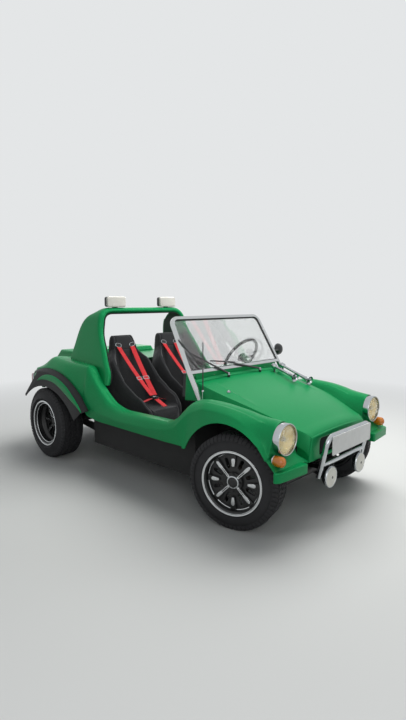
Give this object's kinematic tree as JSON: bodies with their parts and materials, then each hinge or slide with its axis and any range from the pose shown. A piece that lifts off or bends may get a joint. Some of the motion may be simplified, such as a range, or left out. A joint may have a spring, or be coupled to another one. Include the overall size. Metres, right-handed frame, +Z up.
{
  "type": "beach buggy",
  "caption": "Open two-seat rear-engined beach buggy with a glass-fibre body, roll-over hoop, bucket seats, turned front wheels and a steering wheel that leads them.",
  "frame": {"origin": "centre of the bounding box at the ground", "axes": "+X forward along the car, +Y to its left, +Z up"},
  "size_m": [3.229, 1.632, 1.478],
  "materials": {
    "body_gelcoat": "metallic green painted glass fibre",
    "black_tub": "black stone-chip coating and carpet",
    "screen_aluminium": "polished aluminium",
    "screen_glass": "clear laminated glass",
    "seat_cloth": "black cloth and vinyl",
    "harness_red": "red woven webbing",
    "chassis_black": "satin black chassis paint",
    "engine_cast": "dull cast alloy",
    "wheel_rim_black": "black leather grip and spokes",
    "chrome_trim": "bright chrome",
    "lamp_glass": "clear ribbed lamp glass",
    "amber_lens": "amber lens",
    "plate_white": "plain white plate",
    "lamp_cover": "white moulded covers",
    "tail_red": "red lens",
    "alloy_wheel": "black painted alloy with polished spokes and lips",
    "seal_rubber": "black moulded rubber",
    "tyre_rubber": "worn black rubber"
  },
  "bodies": {
    "root": {"hood": "body_gelcoat", "front_fender_left": "body_gelcoat", "front_fender_right": "body_gelcoat", "nose_panel": "body_gelcoat", "body_side_left": "body_gelcoat", "body_side_right": "body_gelcoat", "rear_fender_left": "body_gelcoat", "rear_fender_right": "body_gelcoat", "rear_deck": "body_gelcoat", "engine_cover": "body_gelcoat", "hoop": "body_gelcoat", "scuttle": "body_gelcoat", "rear_flares": "body_gelcoat", "floor_tub": "black_tub", "rear_bulkhead": "black_tub", "front_tub": "black_tub", "dashboard": "black_tub", "arch_guards": "black_tub", "wipers": "black_tub", "aerial": "black_tub", "windscreen_frame": "screen_aluminium", "windscreen_glass": "screen_glass", "seat_left": "seat_cloth", "seat_right": "seat_cloth", "harnesses": "harness_red", "front_beam": "chassis_black", "rear_axle": "chassis_black", "exhaust": "chassis_black", "steering_column": "chassis_black", "engine_block": "engine_cast", "headlamp_bezels": "chrome_trim", "nudge_bar": "chrome_trim", "horns": "chrome_trim", "mirror_head": "chrome_trim", "headlamp_lenses": "lamp_glass", "turn_signals": "amber_lens", "number_plate": "plate_white", "driving_lamps": "lamp_cover", "roof_lamps": "lamp_cover", "tail_lamps": "tail_red", "screen_seal": "seal_rubber"},
    "knuckle_left": {"knuckle_left": "chassis_black"},
    "knuckle_right": {"knuckle_right": "chassis_black"},
    "wheel_front_left": {"front_rim_left": "alloy_wheel", "front_tyre_left": "tyre_rubber"},
    "wheel_front_right": {"front_rim_right": "alloy_wheel", "front_tyre_right": "tyre_rubber"},
    "wheel_rear_left": {"rear_rim_left": "alloy_wheel", "rear_tyre_left": "tyre_rubber"},
    "wheel_rear_right": {"rear_rim_right": "alloy_wheel", "rear_tyre_right": "tyre_rubber"},
    "steering": {"steering_wheel": "wheel_rim_black"}
  },
  "joints": [
    {"name": "steering_turn", "type": "hinge", "parent": "root", "child": "steering", "pos_m": [0.3915, 0.33, 0.955], "axis": [-0.848, 0, 0.5299], "range_deg": [-713, 226]},
    {"name": "steer_left", "type": "hinge", "parent": "root", "child": "knuckle_left", "pos_m": [1.1315, 0.564, 0.307], "axis": [0, 0, 1], "range_deg": [-42.5, 13.5]},
    {"name": "roll_front_left", "type": "hinge", "parent": "knuckle_left", "child": "wheel_front_left", "pos_m": [1.11898, 0.61241, 0.307], "axis": [-0.2504, 0.9681, 0], "continuous": true},
    {"name": "steer_right", "type": "hinge", "parent": "root", "child": "knuckle_right", "pos_m": [1.1315, -0.564, 0.307], "axis": [0, 0, 1], "range_deg": [-42.5, 13.5]},
    {"name": "roll_front_right", "type": "hinge", "parent": "knuckle_right", "child": "wheel_front_right", "pos_m": [1.14402, -0.61241, 0.307], "axis": [-0.2504, 0.9681, 0], "continuous": true},
    {"name": "roll_rear_left", "type": "hinge", "parent": "root", "child": "wheel_rear_left", "pos_m": [-1.0145, 0.676, 0.322], "axis": [0, 1, 0], "continuous": true},
    {"name": "roll_rear_right", "type": "hinge", "parent": "root", "child": "wheel_rear_right", "pos_m": [-1.0145, -0.676, 0.322], "axis": [0, 1, 0], "continuous": true}
  ],
  "couplings": [
    {"joint": "steer_left", "follows": "steering_turn", "ratio": 0.059574},
    {"joint": "steer_right", "follows": "steering_turn", "ratio": 0.059574}
  ]
}
